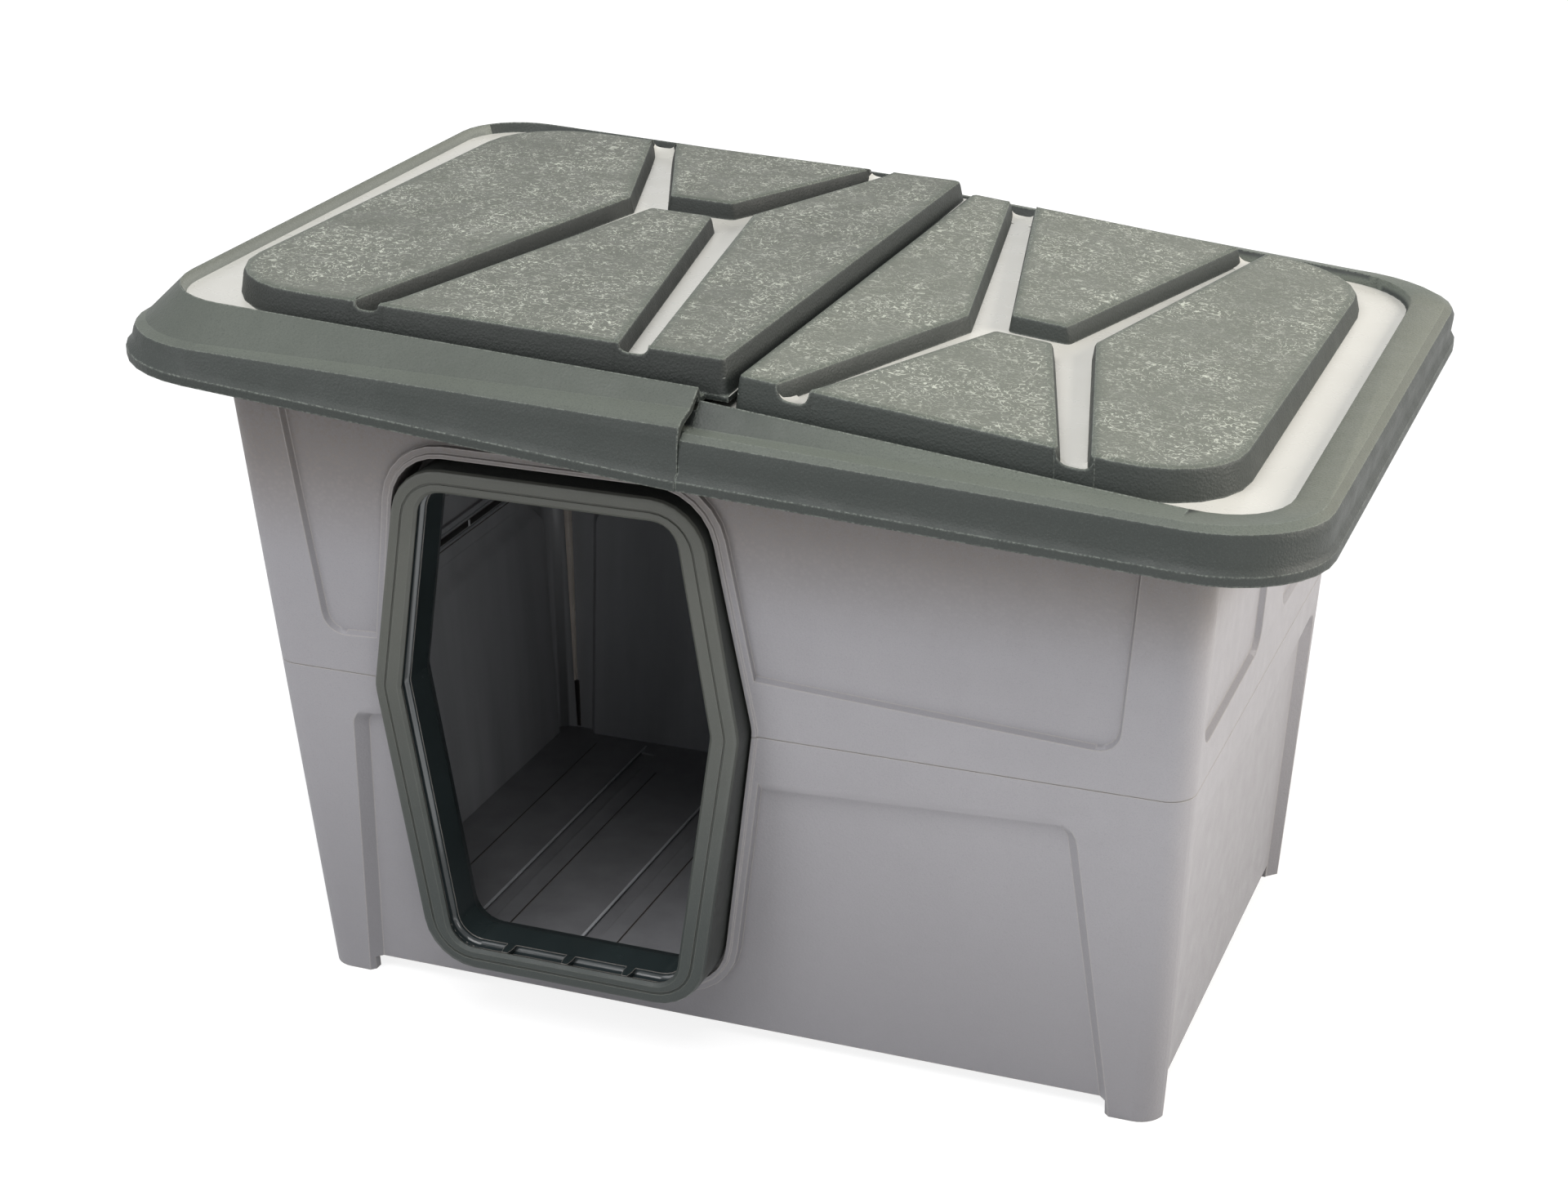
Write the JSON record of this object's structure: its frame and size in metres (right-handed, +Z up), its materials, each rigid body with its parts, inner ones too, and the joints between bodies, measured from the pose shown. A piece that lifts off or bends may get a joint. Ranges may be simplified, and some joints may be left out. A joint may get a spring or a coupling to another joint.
{
  "type": "plastic cat house",
  "caption": "Moulded plastic cat house: grey tub and wall ring, six-sided dark green door frame, and a sloping two-part lift-off roof whose left half laps the right.",
  "frame": {"origin": "on the ground under the middle of the house", "axes": "+X along the front to the right, +Y to the back, +Z up"},
  "size_m": [0.714, 0.516, 0.4659],
  "materials": {
    "wall_plastic": "matte, finely grained",
    "frame_plastic": "matte, finely grained",
    "ring_plastic": "glossy",
    "roof_plastic": "matte, grained"
  },
  "bodies": {
    "house": {"lower_tub": "wall_plastic", "upper_wall_ring": "wall_plastic", "door_frame": "frame_plastic", "inner_door_ring": "ring_plastic"},
    "left_roof": {"roof_left": "roof_plastic"},
    "right_roof": {"roof_right": "roof_plastic"}
  },
  "joints": [
    {"name": "roof_left_lift", "type": "slide", "parent": "house", "child": "left_roof", "axis": [0, 0, 1], "range_m": [0, 0.16]},
    {"name": "roof_right_lift", "type": "slide", "parent": "house", "child": "right_roof", "axis": [0, 0, 1], "range_m": [0, 0.08]}
  ],
  "couplings": [
    {"joint": "roof_right_lift", "follows": "roof_left_lift", "ratio": 0.5}
  ]
}
